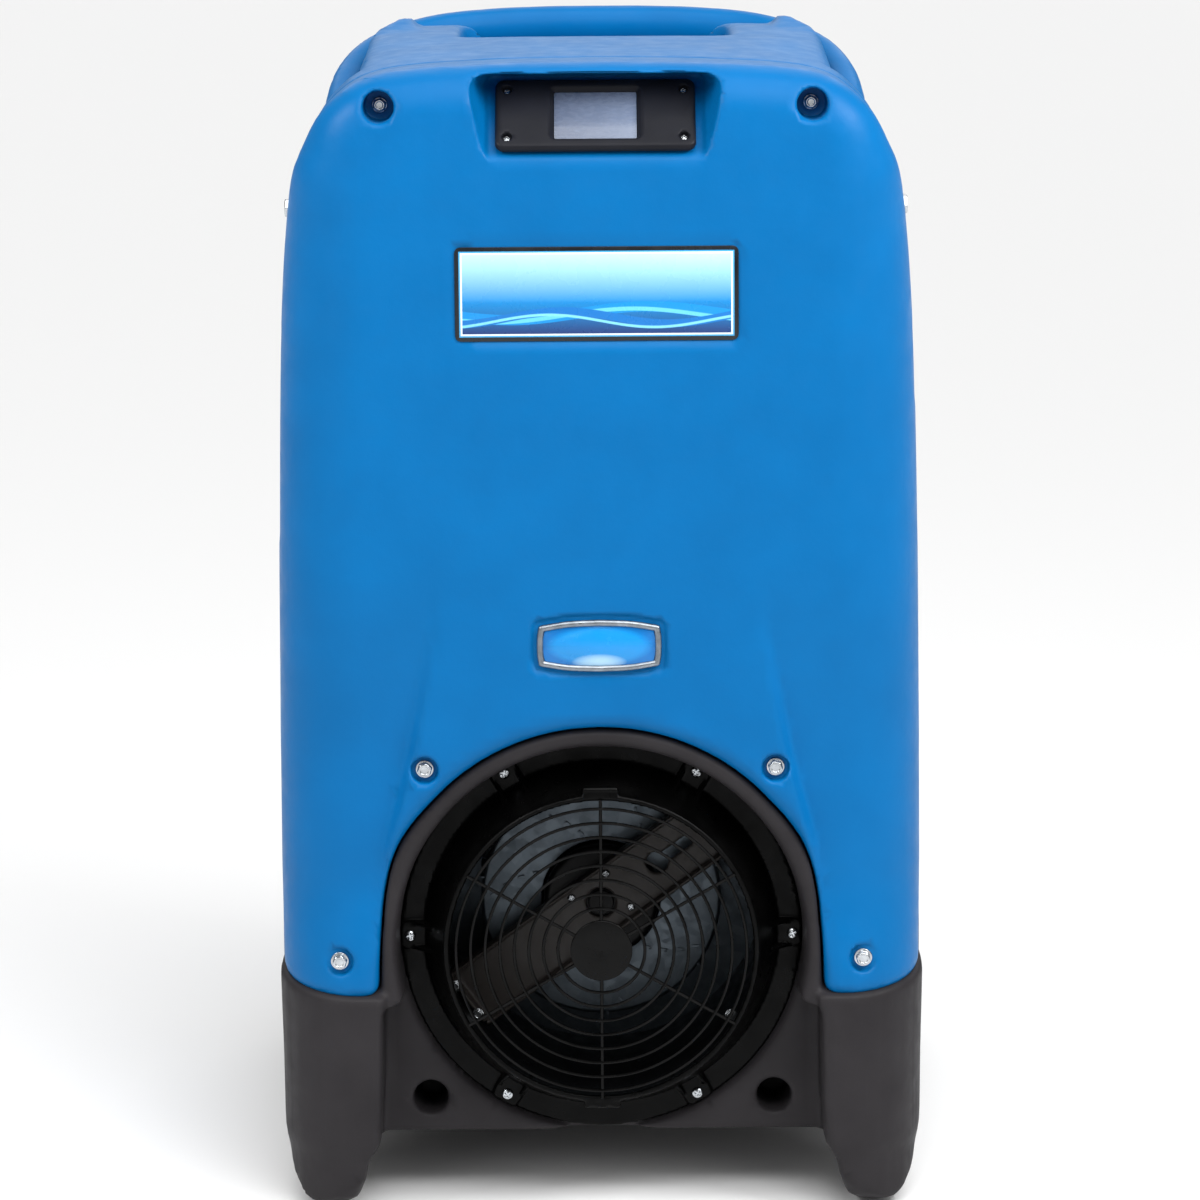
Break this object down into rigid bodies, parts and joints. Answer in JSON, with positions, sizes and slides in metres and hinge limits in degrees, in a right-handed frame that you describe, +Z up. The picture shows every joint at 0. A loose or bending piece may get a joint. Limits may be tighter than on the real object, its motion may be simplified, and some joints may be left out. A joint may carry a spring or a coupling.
{
  "type": "commercial dehumidifier",
  "caption": "Upright wheeled refrigerant dehumidifier with a rotomoulded cabinet, fold-up handle, touch screen, round front air outlet behind a wire guard, and rear intake filter.",
  "frame": {"origin": "bottom centre of the whole machine, on the floor", "axes": "+Z up; the outlet and screen face -Y; +X is to the right seen from the front"},
  "size_m": [0.51, 0.5309, 0.8498],
  "materials": {
    "blue_plastic": "rotomoulded, fine matte grain",
    "grey_plastic": "rotomoulded, matte dark grey",
    "black_plastic": "moulded black, semi-gloss",
    "bezel_plastic": "matte charcoal",
    "screen_glass": "clear screen cover over a pale display",
    "label_film": "printed film, gloss",
    "silver_plastic": "satin silver",
    "zinc_steel": "bright zinc",
    "galvanised_steel": "galvanised sheet",
    "black_wire": "black coated wire",
    "black_enamel": "black enamel",
    "cast_aluminium": "cast",
    "fin_aluminium": "finned",
    "copper": "drawn copper tube",
    "black_rubber": "matte",
    "tyre_rubber": "matte black tread",
    "white_nylon": "nylon",
    "filter_media": "pleated fibre",
    "board_green": "display module"
  },
  "bodies": {
    "cabinet": {"front_shell": "blue_plastic", "rear_shell": "blue_plastic", "base": "grey_plastic", "handle_bolt_left": "zinc_steel", "handle_bolt_right": "zinc_steel", "axle": "zinc_steel", "axle_cap_left": "zinc_steel", "axle_cap_right": "zinc_steel", "panel_bezel": "bezel_plastic", "panel_gasket": "black_rubber", "display_lens": "screen_glass", "display_module": "board_green", "panel_screw_1": "zinc_steel", "panel_screw_2": "zinc_steel", "panel_screw_3": "zinc_steel", "panel_screw_4": "zinc_steel", "name_plate": "label_film", "badge_insert": "label_film", "badge_frame": "silver_plastic", "shell_bolt_top_left": "zinc_steel", "shell_bolt_mid_left": "zinc_steel", "shell_bolt_low_left": "zinc_steel", "shell_bolt_top_right": "zinc_steel", "shell_bolt_mid_right": "zinc_steel", "shell_bolt_low_right": "zinc_steel", "outlet_collar": "black_plastic", "drip_tray": "black_plastic", "condensate_pump": "black_plastic", "intake_frame": "black_plastic", "cord_gland": "black_plastic", "drain_barb": "black_plastic", "cord_wrap": "black_plastic", "finger_guard": "black_wire", "collar_screw_1": "zinc_steel", "collar_screw_2": "zinc_steel", "collar_screw_3": "zinc_steel", "collar_screw_4": "zinc_steel", "collar_screw_5": "zinc_steel", "collar_screw_6": "zinc_steel", "fan_shroud": "galvanised_steel", "fan_bulkhead": "galvanised_steel", "electrical_box": "galvanised_steel", "motor_bracket": "black_enamel", "compressor": "black_enamel", "accumulator": "black_enamel", "fan_motor": "cast_aluminium", "evaporator_coil": "fin_aluminium", "heat_exchanger": "fin_aluminium", "condenser_coil": "fin_aluminium", "discharge_line": "copper", "suction_line": "copper"},
    "handle_frame": {"handle": "blue_plastic", "handle_bush_left": "white_nylon", "handle_bush_right": "white_nylon"},
    "fan_wheel": {"fan_impeller": "galvanised_steel"},
    "wheel_left": {"wheel_hub_left": "silver_plastic", "tyre_left": "tyre_rubber"},
    "wheel_right": {"wheel_hub_right": "silver_plastic", "tyre_right": "tyre_rubber"},
    "filter": {"air_filter": "filter_media"}
  },
  "joints": [
    {"name": "handle_fold", "type": "hinge", "parent": "cabinet", "child": "handle_frame", "pos_m": [0, -0.115, 0.718], "axis": [1, 0, 0], "range_deg": [0, 60]},
    {"name": "fan_spin", "type": "hinge", "parent": "cabinet", "child": "fan_wheel", "pos_m": [0, -0.1, 0.198], "axis": [0, 1, 0], "continuous": true},
    {"name": "wheel_left_spin", "type": "hinge", "parent": "cabinet", "child": "wheel_left", "pos_m": [-0.2275, 0.135, 0.127], "axis": [1, 0, 0], "continuous": true},
    {"name": "wheel_right_spin", "type": "hinge", "parent": "cabinet", "child": "wheel_right", "pos_m": [0.2275, 0.135, 0.127], "axis": [1, 0, 0], "continuous": true},
    {"name": "filter_slide", "type": "slide", "parent": "cabinet", "child": "filter", "axis": [0, 1, 0], "range_m": [0, 0.06]}
  ]
}
